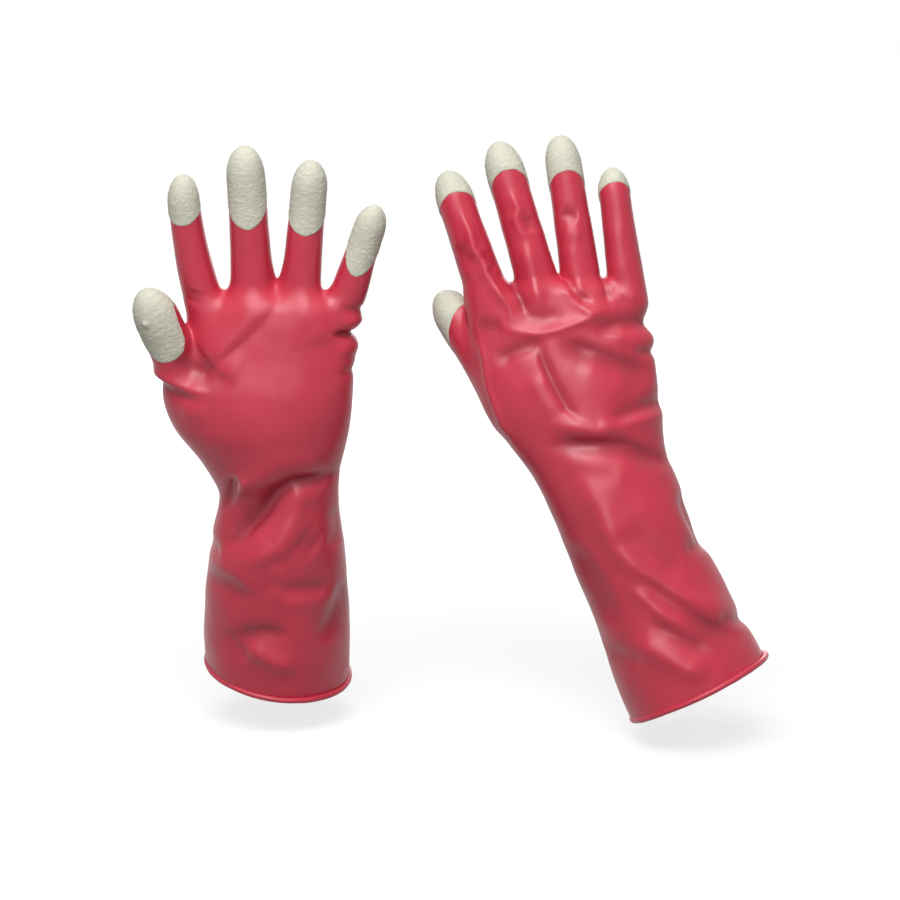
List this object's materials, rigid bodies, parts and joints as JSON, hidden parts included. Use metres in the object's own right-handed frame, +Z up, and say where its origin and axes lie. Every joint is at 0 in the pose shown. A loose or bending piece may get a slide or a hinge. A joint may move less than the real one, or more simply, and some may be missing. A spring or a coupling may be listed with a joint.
{
  "type": "pair of rubber gloves",
  "caption": "Pair of household rubber gloves with flared sleeves, rolled cuff beads and pale gripping coats over the fingertips.",
  "frame": {"origin": "centre of the left glove's mouth, at the open end of the sleeve", "axes": "+Z up along the sleeves to the fingertips, +X from the left glove to the right glove, -Y towards a viewer who sees the left glove's palm"},
  "size_m": [0.3507, 0.1328, 0.3281],
  "materials": {
    "red_rubber": "satin",
    "pale_coat": "matte, crinkled"
  },
  "bodies": {
    "left_cuff": {"left_rolled_bead": "red_rubber", "left_cuff_sleeve": "red_rubber"},
    "left_palm": {"left_palm": "red_rubber"},
    "left_index": {"left_index_stall": "red_rubber", "left_index_coat": "pale_coat"},
    "left_middle": {"left_middle_stall": "red_rubber", "left_middle_coat": "pale_coat"},
    "left_ring": {"left_ring_stall": "red_rubber", "left_ring_coat": "pale_coat"},
    "left_little": {"left_little_stall": "red_rubber", "left_little_coat": "pale_coat"},
    "left_thumb": {"left_thumb_stall": "red_rubber", "left_thumb_coat": "pale_coat"},
    "right_cuff": {"right_rolled_bead": "red_rubber", "right_cuff_sleeve": "red_rubber"},
    "right_palm": {"right_palm": "red_rubber"},
    "right_index": {"right_index_stall": "red_rubber", "right_index_coat": "pale_coat"},
    "right_middle": {"right_middle_stall": "red_rubber", "right_middle_coat": "pale_coat"},
    "right_ring": {"right_ring_stall": "red_rubber", "right_ring_coat": "pale_coat"},
    "right_little": {"right_little_stall": "red_rubber", "right_little_coat": "pale_coat"},
    "right_thumb": {"right_thumb_stall": "red_rubber", "right_thumb_coat": "pale_coat"}
  },
  "joints": [
    {"name": "left wrist bend", "type": "hinge", "parent": "left_cuff", "child": "left_palm", "pos_m": [0.004, -0.03821, 0.11379], "axis": [1, 0, 0], "range_deg": [-30, 35], "stiffness_Nm_per_rad": 1},
    {"name": "left index bend", "type": "hinge", "parent": "left_palm", "child": "left_index", "pos_m": [-0.03785, -0.06459, 0.23165], "axis": [0.9932, -0.0162, 0.1155], "range_deg": [0, 80], "stiffness_Nm_per_rad": 0.05},
    {"name": "left middle bend", "type": "hinge", "parent": "left_palm", "child": "left_middle", "pos_m": [-0.00841, -0.06574, 0.23465], "axis": [0.9997, -0.0034, 0.0242], "range_deg": [0, 80], "stiffness_Nm_per_rad": 0.05},
    {"name": "left ring bend", "type": "hinge", "parent": "left_palm", "child": "left_ring", "pos_m": [0.01931, -0.06464, 0.23262], "axis": [0.9945, 0.0146, -0.1035], "range_deg": [0, 80], "stiffness_Nm_per_rad": 0.05},
    {"name": "left little bend", "type": "hinge", "parent": "left_palm", "child": "left_little", "pos_m": [0.04547, -0.06258, 0.22685], "axis": [0.9511, 0.043, -0.306], "range_deg": [0, 80], "stiffness_Nm_per_rad": 0.05},
    {"name": "left thumb bend", "type": "hinge", "parent": "left_palm", "child": "left_thumb", "pos_m": [-0.04683, -0.06785, 0.17461], "axis": [0.1219, -0.1381, 0.9829], "range_deg": [0, 35], "stiffness_Nm_per_rad": 0.05},
    {"name": "right wrist bend", "type": "hinge", "parent": "right_cuff", "child": "right_palm", "pos_m": [0.1868, -0.03535, 0.12094], "axis": [-0.9272, -0.0392, -0.3726], "range_deg": [-30, 35], "stiffness_Nm_per_rad": 1},
    {"name": "right index bend", "type": "hinge", "parent": "right_palm", "child": "right_index", "pos_m": [0.11654, -0.01389, 0.23402], "axis": [-0.9438, -0.0346, -0.3287], "range_deg": [0, 80], "stiffness_Nm_per_rad": 0.05},
    {"name": "right middle bend", "type": "hinge", "parent": "right_palm", "child": "right_middle", "pos_m": [0.14578, -0.0128, 0.23753], "axis": [-0.9593, -0.0295, -0.2808], "range_deg": [0, 80], "stiffness_Nm_per_rad": 0.05},
    {"name": "right ring bend", "type": "hinge", "parent": "right_palm", "child": "right_ring", "pos_m": [0.1709, -0.01288, 0.24454], "axis": [-0.988, -0.0162, -0.1539], "range_deg": [0, 80], "stiffness_Nm_per_rad": 0.05},
    {"name": "right little bend", "type": "hinge", "parent": "right_palm", "child": "right_little", "pos_m": [0.19593, -0.01425, 0.24323], "axis": [-0.991, -0.014, -0.1333], "range_deg": [0, 80], "stiffness_Nm_per_rad": 0.05},
    {"name": "right thumb bend", "type": "hinge", "parent": "right_palm", "child": "right_thumb", "pos_m": [0.11478, -0.00429, 0.18425], "axis": [0.1392, -0.1035, -0.9848], "range_deg": [0, 35], "stiffness_Nm_per_rad": 0.05},
    {"name": "right glove apart", "type": "slide", "parent": "left_cuff", "child": "right_cuff", "axis": [1, 0, 0], "range_m": [0, 0.25]}
  ]
}
